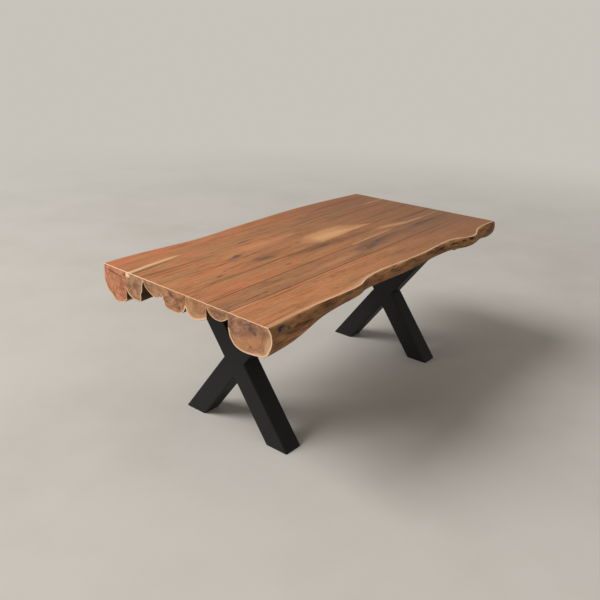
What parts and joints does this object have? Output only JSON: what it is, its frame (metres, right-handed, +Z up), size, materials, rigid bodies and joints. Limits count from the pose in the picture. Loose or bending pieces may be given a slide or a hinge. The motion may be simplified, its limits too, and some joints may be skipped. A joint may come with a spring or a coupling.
{
  "type": "live edge dining table",
  "caption": "Long dining table: half-round logs joined edge to edge into one planed top with live edges, standing on two crossed-tube steel frames.",
  "frame": {"origin": "on the floor, below the middle of the table's outline seen from above", "axes": "+X along the table towards its right end, +Y across it towards the back, +Z up from the floor"},
  "size_m": [2.018, 1.0938, 0.78],
  "materials": {
    "board_wood": "planed and satin lacquered on top, natural sapwood and bark at the live edges",
    "dowel_wood": "plain turned hardwood",
    "black_steel": "matt black powder coat",
    "zinc_steel": "bright zinc plate",
    "rubber_pad": "plain black rubber"
  },
  "bodies": {
    "root": {"board_1_back": "board_wood", "board_2": "board_wood", "board_3": "board_wood", "board_4": "board_wood", "board_5": "board_wood", "board_6": "board_wood", "board_7_front": "board_wood", "seam_1_2_dowels": "dowel_wood", "seam_2_3_dowels": "dowel_wood", "seam_3_4_dowels": "dowel_wood", "seam_4_5_dowels": "dowel_wood", "seam_5_6_dowels": "dowel_wood", "seam_6_7_dowels": "dowel_wood", "left_long_tube": "black_steel", "left_upper_half_tube": "black_steel", "left_lower_half_tube": "black_steel", "left_top_plate": "black_steel", "left_plate_screws": "zinc_steel", "left_plate_washers": "zinc_steel", "left_front_foot_closer": "black_steel", "left_front_foot_pad": "rubber_pad", "left_back_foot_closer": "black_steel", "left_back_foot_pad": "rubber_pad", "right_long_tube": "black_steel", "right_upper_half_tube": "black_steel", "right_lower_half_tube": "black_steel", "right_top_plate": "black_steel", "right_plate_screws": "zinc_steel", "right_plate_washers": "zinc_steel", "right_front_foot_closer": "black_steel", "right_front_foot_pad": "rubber_pad", "right_back_foot_closer": "black_steel", "right_back_foot_pad": "rubber_pad", "middle_channel": "black_steel", "channel_screws": "zinc_steel", "channel_washers": "zinc_steel"}
  },
  "joints": []
}
